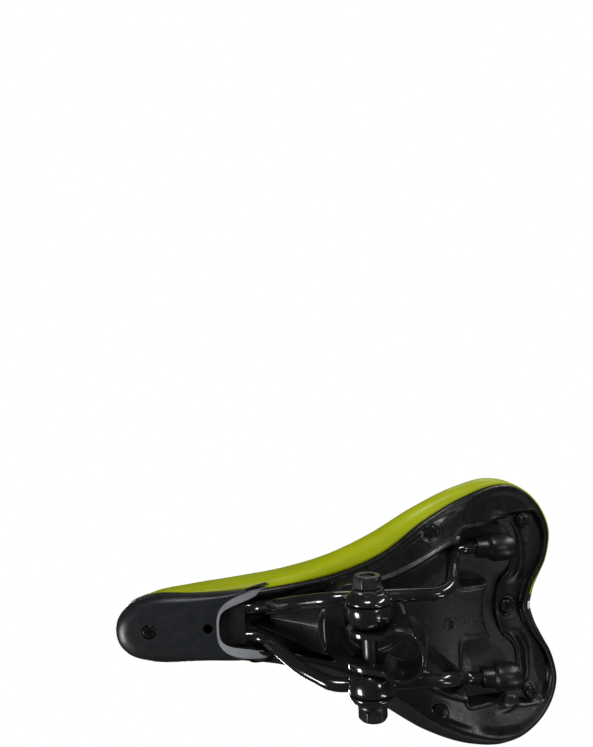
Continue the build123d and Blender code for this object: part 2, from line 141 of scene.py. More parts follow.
HUB_X = 7.5               # centre of the round recess over the clamp
HUB_IN = 18.5
HUB_OUT = 30.5
HUB_ROOF = 46.0
HUB_WALL = (HUB_IN - 1.6, HUB_IN + 0.4)
HUB_BACK = (-16.0, -2.0)
LIP_Z = 30.0
LIP_SLOPE = 0.22
LIP_FLAT = 6.0            # half width of the lip's level middle
LIP_SIDE = (23.0, 27.0)
LIP_FRONT = (HUB_X + 2.0, HUB_X + 12.0)
LIP_INNER_WALL = (HUB_IN - 0.8, HUB_IN + 1.2)
LIP_OUTER_WALL = (HUB_OUT - 1.4, HUB_OUT + 0.8)

POCKET_MIDDLE = (-59.5, 32.0)
POCKET_HALF = (16.5, 16.5)
POCKET_CORNERS = (13.0, 3.0)  # radius of the rear and the front corners
POCKET_ROOF = 63.0
POCKET_WALL = (-2.0, 0.6)
COLLAR = (0.7, 1.4, 1.0)  # raised lip round a pocket: height, distance from its edge, width
ARC = (1.3, 6.5, 2.2)     # broad soft arc behind a pocket, the same way
ARC_END = (-70.0, -58.0)
ARC_SIDE = (12.0, 20.0)
SLOT_X = -60.6            # curved slot between the pockets
SLOT_BEND = 0.0166
SLOT_DEPTH = 9.0
SLOT_EDGE = (2.9, 4.6)
SLOT_END = (16.0, 18.0)

LINE_AT = (-21.0, -16.0)  # fine flow line on the panel
LINE_SLOPE = 0.143
LINE_WIDTH = 0.5
LINE_DEPTH = 0.3
LINE_MIDDLE = -31.5
LINE_HALF = 11.0
LINE_REACH = 24.0

SCREW_SPOTS = [(-25.0, 49.0), (-25.0, -49.0), (-84.0, 49.0), (-84.0, -49.0), (-72.0, 0.0)]
MIDDLE_SCREW_Z = 56.3     # underside of the head of the screw on the centre line
SEAT_RISE = 1.9
SEAT_EDGE = (4.0, 4.9)
SEAT_COLLAR = (0.25, 5.9, 0.9)  # height, distance from the screw's axis, width

SOCKET_X = -53.0
SOCKET_Y = 36.5
SOCKET_Z = 48.5
SOCKET_PROFILE = [(3.6, 3.0), (3.6, 0.2), (4.1, 0.0), (5.2, 0.0), (5.7, 0.5), (5.8, 6.0), (6.2, 7.0),
                  (7.6, 8.2), (8.0, 9.6), (8.0, 15.0), (7.4, 18.5), (6.0, 21.5)]
WEB_X = (-74.0, -56.0)
WEB_Z = (52.0, 62.5)
WEB_HALF = 1.6
WEB_TAPER = (0.8, 1.3)    # share of the half thickness at its lower and its upper edge
INSERT_AT = (-35.0, -5.0)
INSERT_PROFILE = [(3.4, 0.6), (3.4, -0.35), (3.1, -0.5), (2.7, -0.5), (2.5, -0.3), (2.5, 0.0), (0.4, 0.02)]

# ---------------------------------------------------------------- nose cover
NOSE_COVER_X = 67.0       # tips of its two legs
NOSE_COVER_Z = 42.0       # its flat bottom
NOSE_COVER_T = 2.0
NOSE_WALL_IN = [(60, 5.6), (67, 5.4), (85, 4.2), (105, 2.6), (120, 0.9), (135, -0.3), (156, -0.5)]
NOSE_WALL_TOP = [(60, 52.0), (67, 51.2), (74, 50.2), (85, 49.4), (110, 49.6), (122, 51.6), (135, 55.0),
                 (156, 58.0)]
NOSE_LOW = [(60, 51.2), (67, 49.9), (74, 47.0), (81, 44.2), (87, 42.5), (92, 42.0), (98, 42.0), (156, 42.0)]
NOSE_ROUND = [(60, 0.1), (67, 0.1), (74, 0.4), (81, 0.9), (87, 1.6), (95, 2.8), (108, 4.4), (122, 6.0),
              (140, 8.0), (156, 9.5)]
NOSE_RISE = [(60, 0.2), (67, 0.2), (74, 1.6), (81, 3.0), (87, 3.8), (95, 4.6), (120, 5.4), (156, 6.2)]
NOSE_WALL_LEAST = 0.1     # the upright side is never lower than this
NOSE_ROUND_STEPS = 10
NOSE_FLAT_STEPS = 14
CUT_EDGE = [(67.0, 20.4, 49.9), (74.0, 19.4, 47.0), (81.0, 17.6, 44.2), (87.0, 15.5, 42.5),
            (91.4, 12.8, 42.0), (94.2, 9.0, 42.0), (95.3, 5.0, 42.0), (95.5, 0.0, 42.0)]
CUT_INNER = [(67.4, 19.2, 50.0), (74.5, 15.0, 47.8), (81.5, 12.8, 45.2), (87.0, 11.2, 43.6),
             (91.0, 9.4, 43.0), (93.2, 7.2, 42.9), (94.1, 4.2, 42.8), (94.3, 0.0, 42.8)]
CUT_MARKS = [67.0, 74.0, 81.0, 87.0, 92.0, 99.0, 112.0]  # x of the outline that faces each point of the cut
BEVEL_SHARES = (0.06, 0.35, 0.65, 0.94, 1.0)
CUT_LIFTS = (0.5, 2.5, 5.0)   # rings of the cut's upright inner wall
CUT_TOP_Z = 53.0
NOSE_HOLE_X = 100.4
NOSE_HOLE_R = 2.7
NOSE_HOLE_TOP = 12.0
NOSE_SCREW_X = 133.0
NOSE_SINK_R = 4.1
NOSE_SINK_TOP = 1.7
CUTTER_BELOW = -6.0       # both cutters start this far under the flat bottom

# ---------------------------------------------------------------- clamp
BOLT_X = 15.068
BOLT_Z = 4.038
RAIL_Y = 22.0
RAIL_Z = 12.8
GROOVE_R = 3.8
GROOVE_HALF = 40.0
CHEEK_R = 12.0

# Cheek profiles round the bolt, as (radius, distance from the middle).
DOME_RIM = [(11.3, 22.3), (11.8, 22.5), (CHEEK_R, 23.0)]
DOME_START = 23.0
DOME_RISE = 6.05
DOME_ANGLES = (6.0, 48.0)
DOME_END = (7.0, 27.5)
DOME_STEPS = 9
BELL_NECK = 5.6
BELL_START = 9.65
BELL_LENGTH = 9.6
BELL_STEPS = 14
BELL_RIM = [(CHEEK_R, 21.1), (11.8, 21.5), (11.3, 21.7)]

# ---------------------------------------------------------------- textures
NOISE_ROUGHNESS = 0.55
NOISE_DETAIL = 3.0
COLOUR_SPAN = (0.32, 0.68)    # part of the noise's range over which the colour changes
ROUGHNESS_SPAN = (0.3, 0.7)   # and over which the roughness does

# ---------------------------------------------------------------- camera, lights and stage
CAMERA_AT = (56.6, 125.5, -340.5)
CAMERA_RIGHT = (-0.99883, -0.03985, -0.02739)
CAMERA_UP = (-0.03876, 0.99847, -0.03934)
CAMERA_BACK = (0.02891, -0.03823, -0.99885)
CAMERA_LENS = 32.63
SENSOR = 36.0
FLOOR_Z = -0.62           # in metres, as the lights' places are
FLOOR_REACH = 40.0
FLOOR_GLOW = 0.28
SURROUND = 0.05           # strength of the white surround's light on the surfaces
LIGHT_AIM = (0.02, 0.0, 0.04)
LIGHT_SPREAD = 70.0
SUN_ANGLE = 35.0

# Each area light: name, place, width, power and height.
AREA_LIGHTS = [
    ("key", (0.10, 0.62, -0.38), 0.20, 0.42, 0.14),
    ("rim", (-0.50, 0.45, -0.10), 0.06, 0.34, 0.50),
    ("front", (0.70, -0.25, -0.30), 0.22, 0.60, 0.22),
    ("low", (-0.45, -0.38, -0.38), 0.05, 0.10, 0.30),
    ("panel", (-0.30, 0.10, -0.52), 0.10, 0.05, 0.10),
]
# Each sun: name, turn in degrees and power.
SUN_LIGHTS = [
    ("sun", (18.0, 14.0, 0.0), 2.2),
    ("fill", (-40.0, -20.0, 0.0), 0.45),
]


# ---------------------------------------------------------------- small maths
def along(points, x):
    """A smooth curve through the profile's points, for one x or many."""
    xs = np.array([p[0] for p in points], float)
    values = np.array([p[1] for p in points], float)
    slopes = np.gradient(values, xs)
    x = np.clip(np.asarray(x, float), xs[0], xs[-1])
    k = np.clip(np.searchsorted(xs, x) - 1, 0, len(xs) - 2)
    run = xs[k + 1] - xs[k]
    u = (x - xs[k]) / run
    start = (1 + 2 * u) * (1 - u) ** 2 * values[k] + u * (1 - u) ** 2 * run * slopes[k]
    end = u * u * (3 - 2 * u) * values[k + 1] + u * u * (u - 1) * run * slopes[k + 1]
    return start + end


def step(a, b, x):
    """0 before a, 1 after b, and smooth between."""
    u = np.clip((np.asarray(x, float) - a) / (b - a), 0.0, 1.0)
    return u * u * (3 - 2 * u)


def bump(centre, half, x):
    """1 at the centre, falling smoothly to 0 at half away from it."""
    return 1.0 - step(0.0, half, np.abs(np.asarray(x, float) - centre))


def hill(distance, width):
    """1 where the distance is 0, falling away on both sides as a bell does."""
    return np.exp(-(distance / width) ** 2)


def mix(a, b, t):
    return a + (b - a) * t


# ---------------------------------------------------------------- plan of the saddle
def half_outline(count):
    """Evenly spaced points of the left half outline, from the tail notch to the nose, with normals."""
    past = 3  # mirrored points past each end, so that the curve crosses the centre line squarely
    fine_count = 1600
    full = [(x, -y) for x, y in reversed(OUTLINE[1:past + 1])] + OUTLINE
    full = full + [(x, -y) for x, y in reversed(OUTLINE[-past - 1:-1])]
    pts = np.array(full, float)
    chord = np.concatenate([[0.0], np.cumsum(np.hypot(*np.diff(pts, axis=0).T))])
    start = chord[past]
    end = chord[past + len(OUTLINE) - 1]
    fine = np.linspace(start, end, fine_count)
    x = along(list(zip(chord, pts[:, 0])), fine)
    y = along(list(zip(chord, pts[:, 1])), fine)
    length = np.concatenate([[0.0], np.cumsum(np.hypot(np.diff(x), np.diff(y)))])
    even = np.linspace(0.0, length[-1], count)
    x = np.interp(even, length, x)
    y = np.interp(even, length, y)
    y[0] = 0.0
    y[-1] = 0.0
    run_x = np.gradient(x)
    run_y = np.gradient(y)
    run_x[0] = 0.0
    run_x[-1] = 0.0
    run = np.hypot(run_x, run_y)
    return x, y, -run_y / run, run_x / run


def spine(x, y):
    """The x on the centre line that each outline point faces."""
    count = len(x)
    widest = int(np.argmax(y))
    first = widest + int(np.argmax(x[widest:] > SPINE_TAIL[1]))
    last = int(np.argmax(x > SPINE_NOSE[0]))
    facing = x.copy()
    facing[:first] = np.linspace(SPINE_TAIL[0], x[first], first, endpoint=False)
    facing[last:] = np.linspace(x[last], SPINE_NOSE[1], count - last)
    kernel = np.ones(SPINE_WINDOW) / SPINE_WINDOW
    beside = SPINE_WINDOW // 2
    padded = np.concatenate([np.full(beside, facing[0]), facing, np.full(beside, facing[-1])])
    return np.convolve(padded, kernel, mode="valid")


PLAN_X, PLAN_Y, NORMAL_X, NORMAL_Y = half_outline(HALF_COUNT)
SPINE_X = spine(PLAN_X, PLAN_Y)
RIM_INSET = along(RIM_IN, PLAN_X) + NOTCH_IN * (1.0 - step(*NOTCH_Y, PLAN_Y)) * (PLAN_X < 0.0)


def inset_points(inset):
    """The outline moved in; inset is one number or one for each point."""
    return PLAN_X - NORMAL_X * inset, PLAN_Y - NORMAL_Y * inset


def ring_grid(rings, centre_z):
    """Left-half rings made whole: mirrored, and closed along the spine.

    Each ring is (x, y, z) arrays from notch to nose. centre_z gives the height on the centre line."""
    verts = []
    rows = []
    for x, y, z in rings:
        row = []
        for i in range(HALF_COUNT):
            row.append(len(verts))
            verts.append((x[i], y[i], z[i]))
        for i in range(HALF_COUNT - 2, 0, -1):
            row.append(len(verts))
            verts.append((x[i], -y[i], z[i]))
        rows.append(row)
    faces = []
    around = len(rows[0])
    for low, high in zip(rows, rows[1:]):
        for i in range(around):
            j = (i + 1) % around
            faces.append((low[i], low[j], high[j], high[i]))
    middle = []
    for i in range(1, HALF_COUNT - 1):
        middle.append(len(verts))
        verts.append((SPINE_X[i], 0.0, float(centre_z[i - 1])))
    last = rows[-1]
    for i in range(HALF_COUNT - 3):
        faces.append((last[i + 1], last[i + 2], middle[i + 1], middle[i]))
        faces.append((last[around - i - 2], last[around - i - 1], middle[i], middle[i + 1]))
    faces.append((last[0], last[1], middle[0]))
    faces.append((last[around - 1], last[0], middle[0]))
    faces.append((last[HALF_COUNT - 2], last[HALF_COUNT - 1], middle[-1]))
    faces.append((last[HALF_COUNT - 1], last[HALF_COUNT], middle[-1]))
    return verts, faces


def strip_grid(rings):
    """Left-half rings mirrored across the nose, and left open at their tail ends."""
    verts = []
    rows = []
    for x, y, z in rings:
        count = len(x)
        row = []
        for i in range(count):
            row.append(len(verts))
            verts.append((x[i], 0.0 if i == count - 1 else y[i], z[i]))
        for i in range(count - 2, -1, -1):
            row.append(len(verts))
            verts.append((x[i], -y[i], z[i]))
        rows.append(row)
    faces = []
    for low, high in zip(rows, rows[1:]):
        for i in range(len(low) - 1):
            faces.append((low[i], low[i + 1], high[i + 1], high[i]))
    return verts, faces


# ---------------------------------------------------------------- making objects
def from_mesh(name, mesh, smooth=True):
    obj = bpy.data.objects.new(name, mesh)
    bpy.context.scene.collection.objects.link(obj)
    if smooth:
        mesh.shade_smooth()
    return obj


def new_object(name, verts, faces, smooth=True):
    mesh = bpy.data.meshes.new(name)
    mesh.from_pydata([(x * MM, y * MM, z * MM) for x, y, z in verts], [], faces)
    mesh.validate()
    return from_mesh(name, mesh, smooth)


def from_bmesh(name, bm):
    mesh = bpy.data.meshes.new(name)
    bm.to_mesh(mesh)
    bm.free()
    return from_mesh(name, mesh)


def lathe(name, profile, centre, axis, count=64):
    """A turned shape: profile is (radius, distance along the axis), in millimetres."""
    bm = bmesh.new()
    turn = Vector((0, 0, 1)).rotation_difference(Vector(axis).normalized()).to_matrix()
    base_point = Vector(centre)
    rows = []
    for radius, height in profile:
        row = []
        for k in range(count):
            a = 2 * math.pi * k / count
            local = Vector((radius * math.cos(a), radius * math.sin(a), height))
            row.append(bm.verts.new((base_point + turn @ local) * MM))
        rows.append(row)
    for low, high in zip(rows, rows[1:]):
        for k in range(count):
            j = (k + 1) % count
            bm.faces.new((low[k], low[j], high[j], high[k]))
    bm.faces.new(rows[0])
    bm.faces.new(rows[-1])
    bmesh.ops.recalc_face_normals(bm, faces=bm.faces)
    return from_bmesh(name, bm)


def outward(obj):
    """Makes every face of a mesh look the same way, outward where it is closed."""
    bm = bmesh.new()
    bm.from_mesh(obj.data)
    bmesh.ops.recalc_face_normals(bm, faces=bm.faces)
    bm.to_mesh(obj.data)
    bm.free()


def apply_modifiers(obj):
    graph = bpy.context.evaluated_depsgraph_get()
    made = bpy.data.meshes.new_from_object(obj.evaluated_get(graph))
    obj.modifiers.clear()
    obj.data = made


def thicken(obj, thickness, offset=-1.0):
    """Gives a sheet its thickness: against its normals, or along them where the offset is 1."""
    solid = obj.modifiers.new("thickness", "SOLIDIFY")
    solid.thickness = thickness * MM
    solid.offset = offset
    solid.use_even_offset = False
    apply_modifiers(obj)


def cut(obj, cutter):
    """Takes the cutter's space out of obj, and removes the cutter."""
    op = obj.modifiers.new("cut", "BOOLEAN")
    op.operation = "DIFFERENCE"
    op.solver = "EXACT"
    op.object = cutter
    apply_modifiers(obj)
    bpy.data.objects.remove(cutter)


def paint(obj, material):
    obj.data.materials.clear()
    obj.data.materials.append(material)


def sharp_edges(obj, degrees):
    """Faces that meet at more than this angle keep a crisp edge."""
    obj.data.shade_smooth()
    bm = bmesh.new()
    bm.from_mesh(obj.data)
    limit = math.radians(degrees)
    for edge in bm.edges:
        if len(edge.link_faces) == 2 and edge.calc_face_angle(0.0) > limit:
            edge.smooth = False
    bm.to_mesh(obj.data)
    bm.free()


# ---------------------------------------------------------------- materials
def material(name, colour, roughness, specular=0.5, coat=0.0, coat_roughness=0.1, metallic=0.0):
    made = bpy.data.materials.new(name)
    made.use_nodes = True
    shader = made.node_tree.nodes["Principled BSDF"]
    shader.inputs["Base Color"].default_value = (*colour, 1.0)
    shader.inputs["Roughness"].default_value = roughness
    shader.inputs["Specular IOR Level"].default_value = specular
    shader.inputs["Coat Weight"].default_value = coat
    shader.inputs["Coat Roughness"].default_value = coat_roughness
    shader.inputs["Metallic"].default_value = metallic
    return made


def noise(made, scale, detail):
    """A noise texture in the object's own space, in features per metre."""
    nodes = made.node_tree.nodes
    links = made.node_tree.links
    place = nodes.new("ShaderNodeTexCoord")
    texture = nodes.new("ShaderNodeTexNoise")
    texture.inputs["Scale"].default_value = scale
    texture.inputs["Detail"].default_value = detail
    texture.inputs["Roughness"].default_value = NOISE_ROUGHNESS
    links.new(place.outputs["Object"], texture.inputs["Vector"])
    return texture


def vary_colour(made, dark, light, scale):
    """The base colour wanders between two close tones."""
    nodes = made.node_tree.nodes
    links = made.node_tree.links
    texture = noise(made, scale, NOISE_DETAIL)
    ramp = nodes.new("ShaderNodeValToRGB")
    ramp.color_ramp.elements[0].position = COLOUR_SPAN[0]
    ramp.color_ramp.elements[0].color = (*dark, 1.0)
    ramp.color_ramp.elements[1].position = COLOUR_SPAN[1]
    ramp.color_ramp.elements[1].color = (*light, 1.0)
    links.new(texture.outputs["Fac"], ramp.inputs["Fac"])
    links.new(ramp.outputs["Color"], nodes["Principled BSDF"].inputs["Base Color"])


def vary_roughness(made, low, high, scale):
    """The roughness wanders between two values."""
    nodes = made.node_tree.nodes
    links = made.node_tree.links
    texture = noise(made, scale, NOISE_DETAIL)
    span = nodes.new("ShaderNodeMapRange")
    span.inputs["From Min"].default_value = ROUGHNESS_SPAN[0]
    span.inputs["From Max"].default_value = ROUGHNESS_SPAN[1]
    span.inputs["To Min"].default_value = low
    span.inputs["To Max"].default_value = high
    links.new(texture.outputs["Fac"], span.inputs["Value"])
    links.new(span.outputs["Result"], nodes["Principled BSDF"].inputs["Roughness"])


def grain(made, scale, strength, depth, kind="noise", detail=2.0):
    """A fine relief: noise for moulded plastic and metal, or cells for leather grain and foam."""
    nodes = made.node_tree.nodes
    links = made.node_tree.links
    if kind == "noise":
        height = noise(made, scale, detail).outputs["Fac"]
    else:
        place = nodes.new("ShaderNodeTexCoord")
        texture = nodes.new("ShaderNodeTexVoronoi")
        texture.feature = "F1"
        texture.inputs["Scale"].default_value = scale
        links.new(place.outputs["Object"], texture.inputs["Vector"])
        height = texture.outputs["Distance"]
    relief = nodes.new("ShaderNodeBump")
    relief.inputs["Strength"].default_value = strength
    relief.inputs["Distance"].default_value = depth * MM
    links.new(height, relief.inputs["Height"])
    links.new(relief.outputs["Normal"], nodes["Principled BSDF"].inputs["Normal"])


def lime_leather():
    made = material("lime_leather", (0.36, 0.42, 0.003), 0.46, specular=0.28)
    vary_colour(made, (0.34, 0.395, 0.002), (0.39, 0.45, 0.005), 55.0)
    vary_roughness(made, 0.34, 0.46, 180.0)
    grain(made, 1500.0, 0.22, 0.12, kind="cells")
    return made


def black_leather():
    made = material("black_leather", (0.012, 0.012, 0.013), 0.5, specular=0.4)
    vary_colour(made, (0.010, 0.010, 0.011), (0.016, 0.016, 0.018), 70.0)
    vary_roughness(made, 0.44, 0.56, 200.0)
    grain(made, 1300.0, 0.35, 0.16, kind="cells")
    return made


def band_leather():
    made = material("band_leather", (0.022, 0.022, 0.024), 0.46, specular=0.4)
    vary_colour(made, (0.018, 0.018, 0.020), (0.028, 0.028, 0.030), 70.0)
    vary_roughness(made, 0.4, 0.5, 200.0)
    grain(made, 1500.0, 0.3, 0.14, kind="cells")
    return made


def white_leather():
    made = material("white_leather", (0.82, 0.82, 0.80), 0.42, specular=0.45)
    vary_colour(made, (0.78, 0.78, 0.76), (0.86, 0.86, 0.84), 60.0)
    vary_roughness(made, 0.38, 0.48, 200.0)
    grain(made, 1500.0, 0.2, 0.12, kind="cells")
    return made


def foam():
    made = material("foam", (0.10, 0.10, 0.10), 0.95, specular=0.2)
    vary_colour(made, (0.08, 0.08, 0.08), (0.13, 0.13, 0.13), 400.0)
    grain(made, 900.0, 0.6, 0.4, kind="cells")
    return made


def board_plastic():
    made = material("board_plastic", (0.02, 0.02, 0.02), 0.6)
    vary_colour(made, (0.016, 0.016, 0.016), (0.026, 0.026, 0.026), 120.0)
    vary_roughness(made, 0.5, 0.65, 160.0)
    grain(made, 900.0, 0.3, 0.12)
    return made


def anchor_plastic():
    made = material("anchor_plastic", (0.005, 0.005, 0.005), 0.55, specular=0.25)
    vary_colour(made, (0.004, 0.004, 0.004), (0.007, 0.007, 0.007), 160.0)
    vary_roughness(made, 0.5, 0.62, 160.0)
    grain(made, 900.0, 0.3, 0.12)
    return made


def base_plastic():
    made = material("base_plastic", (0.006, 0.006, 0.006), 0.34, specular=0.42)
    vary_colour(made, (0.005, 0.005, 0.005), (0.008, 0.008, 0.008), 140.0)
    vary_roughness(made, 0.26, 0.40, 260.0)
    grain(made, 1300.0, 0.6, 0.14, detail=3.0)
    return made


def satin_plastic():
    made = material("satin_plastic", (0.010, 0.012, 0.015), 0.34, specular=0.5)
    vary_colour(made, (0.009, 0.011, 0.013), (0.013, 0.015, 0.018), 60.0)
    vary_roughness(made, 0.30, 0.42, 220.0)
    grain(made, 2600.0, 0.2, 0.08, detail=3.0)
    return made


def painted_light_bevel():
    """Painted light: the nose cover's black plastic, made pale grey on the bevel of its cut-out as if lit
    there.
    """
    made = material("painted_light_bevel", (0.27, 0.28, 0.31), 0.38, specular=0.5)
    vary_colour(made, (0.24, 0.25, 0.28), (0.31, 0.32, 0.35), 120.0)
    vary_roughness(made, 0.32, 0.44, 200.0)
    grain(made, 2000.0, 0.2, 0.08)
    return made


def painted_steel():
    made = material("painted_steel", (0.008, 0.008, 0.009), 0.16, specular=0.6, coat=0.8,
                    coat_roughness=0.06)
    vary_colour(made, (0.006, 0.006, 0.007), (0.011, 0.011, 0.012), 90.0)
    vary_roughness(made, 0.12, 0.24, 140.0)
    grain(made, 700.0, 0.12, 0.05)
    return made


def bolt_steel():
    made = material("bolt_steel", (0.012, 0.012, 0.013), 0.34, specular=0.5, coat=0.2, coat_roughness=0.2)
    vary_colour(made, (0.008, 0.008, 0.009), (0.018, 0.018, 0.019), 260.0)
    vary_roughness(made, 0.26, 0.42, 300.0)
    grain(made, 1200.0, 0.15, 0.06)
    return made


def screw_steel():
    made = material("screw_steel", (0.035, 0.035, 0.035), 0.24, metallic=0.8)
    vary_colour(made, (0.025, 0.025, 0.025), (0.045, 0.045, 0.045), 500.0)
    vary_roughness(made, 0.18, 0.30, 500.0)
    grain(made, 1800.0, 0.15, 0.05)
    return made


def floor_material():
    made = material("floor_paint", (0.90, 0.90, 0.90), 0.7, specular=0.2)
    vary_colour(made, (0.89, 0.89, 0.89), (0.91, 0.91, 0.91), 3.0)
    shader = made.node_tree.nodes["Principled BSDF"]
    shader.inputs["Emission Color"].default_value = (1.0, 1.0, 1.0, 1.0)
    shader.inputs["Emission Strength"].default_value = FLOOR_GLOW
    return made


# ---------------------------------------------------------------- cover
def cover_rings(drop):
    """Rings of the cover's outer surface, moved in by drop: hem, flank, widest edge and crowned top."""
    rim_z = along(RIM_Z, PLAN_X)
    edge_z = along(EDGE_Z, PLAN_X)
    rings = []
    for inset, rise in HEM:
        x, y = inset_points(RIM_INSET + drop + inset)
        rings.append((x, y, rim_z + rise))
    for angle in np.linspace(0.0, 90.0, FLANK_STEPS + 1)[:-1]:
        phi = math.radians(angle)
        x, y = inset_points(RIM_INSET * (1 - math.sin(phi)) + drop)
        rings.append((x, y, edge_z - (edge_z - rim_z - FLANK_RISE) * math.cos(phi)))
    start_x, start_y = inset_points(drop)
    for k in range(CROWN_STEPS):
        f = math.cos(math.radians(90.0 * k / CROWN_STEPS))
        x = mix(SPINE_X, start_x, f)
        y = start_y * f
        height = (1.0 - f ** CROWN_POWER) ** (1.0 / CROWN_ROOT)
        crown = along(CROWN_Z, x) - drop
        rings.append((x, y, edge_z + (crown - edge_z) * height))
    centre = along(CROWN_Z, SPINE_X[1:-1]) - drop
    return rings, centre


def side_of(boundary, points):
    """How far each point lies to the left of a boundary that runs from tail to nose."""
    return points[:, 1] / MM - along(boundary, points[:, 0] / MM)


def cut_along(bm, boundary):
    """Gives the mesh an edge along the boundary, and returns the vertices on it."""
    points = np.array([v.co for v in bm.verts])
    value = dict(zip([v.index for v in bm.verts], side_of(boundary, points)))
    crossing = []
    least = 0.02  # no edge is split nearer to its end than this share of it
    for edge in list(bm.edges):
        a, b = edge.verts
        if a.index in value and b.index in value and value[a.index] * value[b.index] < 0:
            share = value[a.index] / (value[a.index] - value[b.index])
            share = min(1.0 - least, max(least, share))
            crossing.append(bmesh.utils.edge_split(edge, a, share)[1])
    on_line = set(crossing)
    for face in list(bm.faces):
        found = [v for v in face.verts if v in on_line]
        if len(found) == 2 and not bm.edges.get(found):
            bmesh.utils.face_split(face, found[0], found[1])
    return crossing


def cover_skin():
    """The cover's outer surface, with an edge and a fine groove along each seam."""
    rings, centre = cover_rings(0.0)
    verts, faces = ring_grid(rings, centre)
    skin = new_object("cover_skin", verts, faces)
    bm = bmesh.new()
    bm.from_mesh(skin.data)
    bpy.data.objects.remove(skin)
    bmesh.ops.recalc_face_normals(bm, faces=bm.faces)
    seams = []
    for boundary in BOUNDARIES:
        bm.verts.index_update()
        seams = seams + cut_along(bm, boundary)
    bm.verts.index_update()
    bm.faces.index_update()
    bm.normal_update()
    for vert in seams:
        if vert.co.z > SEAM_LOWEST_Z * MM:
            vert.co -= vert.normal * (SEAM_DEPTH * MM)
    return bm


def cover():
    """The four panels of the cover, cut from one skin."""
    bm = cover_skin()
    centres = np.array([f.calc_center_median() for f in bm.faces])
    panel = sum((side_of(boundary, centres) > 0).astype(int) for boundary in BOUNDARIES)
    panels = [
        ("cover_black", "cover_black_panel", "black_leather", black_leather()),
        ("cover_white", "cover_white_stripe", "white_leather", white_leather()),
        ("cover_band", "cover_dark_band", "band_leather", band_leather()),
        ("cover_colour", "cover_colour_panel", "lime_leather", lime_leather()),
    ]
    for k, (name, node, slot_name, finish) in enumerate(panels):
        part = bm.copy()
        part.faces.ensure_lookup_table()
        gone = [part.faces[i] for i in range(len(panel)) if panel[i] != k]
        bmesh.ops.delete(part, geom=gone, context="FACES")
        piece = from_bmesh(name, part)
        thicken(piece, COVER_T)
        piece.data.shade_smooth()
        paint(piece, finish)
        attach(piece, "saddle")
        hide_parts(node)
    bm.free()


# ---------------------------------------------------------------- foam and board, inside the cover
def cushion():
    """The foam pad, which the cover and the base hide."""
    rings, centre = cover_rings(PAD_DROP)
    top = rings[len(HEM) + FLANK_STEPS:]
    x, y = inset_points(RIM_INSET + PAD_IN)
    low_z = along(RIM_Z, PLAN_X) + PAD_RISE
    floor = []
    for f in PAD_FLOOR_RINGS:
        floor.append((mix(SPINE_X, x, f), y * f, mix(PAD_FLOOR_Z, low_z, f)))
    verts, faces = ring_grid(floor + [(x, y, low_z)] + top, centre)
    around = 2 * HALF_COUNT - 2
    faces.append(tuple(reversed(range(around))))
    pad = new_object("foam_cushion", verts, faces)
    outward(pad)
    paint(pad, foam())
    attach(pad, "saddle")
    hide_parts("foam_pad")


def board():
    """The thin board between the foam and the base."""
    rim_z = along(RIM_Z, PLAN_X)
    edge_x, edge_y = inset_points(RIM_INSET + BOARD_IN)
    rings = []
    for f in np.linspace(1.0, BOARD_MIDDLE, BOARD_RINGS):
        x = mix(SPINE_X, edge_x, f)
        y = edge_y * f
        rings.append((x, y, mix(BOARD_Z, rim_z + BOARD_RISE, f ** 2)))
    verts, faces = ring_grid(rings, np.full(HALF_COUNT - 2, BOARD_Z))
    sheet = new_object("inner_board", verts, faces)
    thicken(sheet, BOARD_T, offset=1.0)
    outward(sheet)
    paint(sheet, board_plastic())
    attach(sheet, "saddle")
    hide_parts("top_board")


# ---------------------------------------------------------------- moulded base
def add_hump(z, x, y):
    """The V-grooved spine that runs from the recess to the nose."""
    half = along(HUMP_HALF, x)
    share = np.clip(np.abs(y) / half, 0.0, 1.0)
    height = mix(along(HUMP_VALLEY, x), along(HUMP_RIDGE, x), share ** HUMP_POWER)
    weight = 1.0 - step(0.0, HUMP_SIDE, np.abs(y) - half)
    weight = weight * step(*HUMP_START, x) * (1.0 - step(*HUMP_END, x))
    return mix(z, np.minimum(z, height), weight)


def add_hub(z, x, y):
    """The round recess over the clamp, and the lip round the front of it."""
    far = np.abs(y)
    away = np.hypot(x - HUB_X, y)
    lip = step(*LIP_INNER_WALL, away) * (1.0 - step(*LIP_OUTER_WALL, away))
    lip = lip * step(*LIP_FRONT, x) * (1.0 - step(*LIP_SIDE, far))
    lip_z = LIP_Z + LIP_SLOPE * np.maximum(far - LIP_FLAT, 0.0)
    z = mix(z, np.minimum(z, lip_z), lip)
    recess = 1.0 - step(*HUB_WALL, away)
    return mix(z, HUB_ROOF, recess * step(*HUB_BACK, x))


def from_pocket(x, far):
    """Distance from a pocket's edge: negative inside it. Its rear corners are the rounder ones."""
    radius = np.where(x < POCKET_MIDDLE[0], *POCKET_CORNERS)
    out_x = np.abs(x - POCKET_MIDDLE[0]) - (POCKET_HALF[0] - radius)
    out_y = np.abs(far - POCKET_MIDDLE[1]) - (POCKET_HALF[1] - radius)
    outside = np.hypot(np.maximum(out_x, 0.0), np.maximum(out_y, 0.0))
    return outside + np.minimum(np.maximum(out_x, out_y), 0.0) - radius


def add_pockets(z, x, y):
    """The pockets round the rear sockets, the slot between them, and the soft forms at their edges."""
    far = np.abs(y)
    across_slot = np.abs(x - SLOT_X + SLOT_BEND * y * y)
    slot = (1.0 - step(*SLOT_EDGE, across_slot)) * (1.0 - step(*SLOT_END, far))
    edge = from_pocket(x, far)
    pocket = 1.0 - step(*POCKET_WALL, edge)
    z = z + SLOT_DEPTH * slot * (1.0 - pocket)
    z = mix(z, POCKET_ROOF, pocket)
    height, out, width = COLLAR
    z = z - height * hill(edge - out, width) * (1.0 - slot)
    height, out, width = ARC
    behind = 1.0 - step(*ARC_END, x)
    return z - height * hill(edge - out, width) * behind * step(*ARC_SIDE, far)


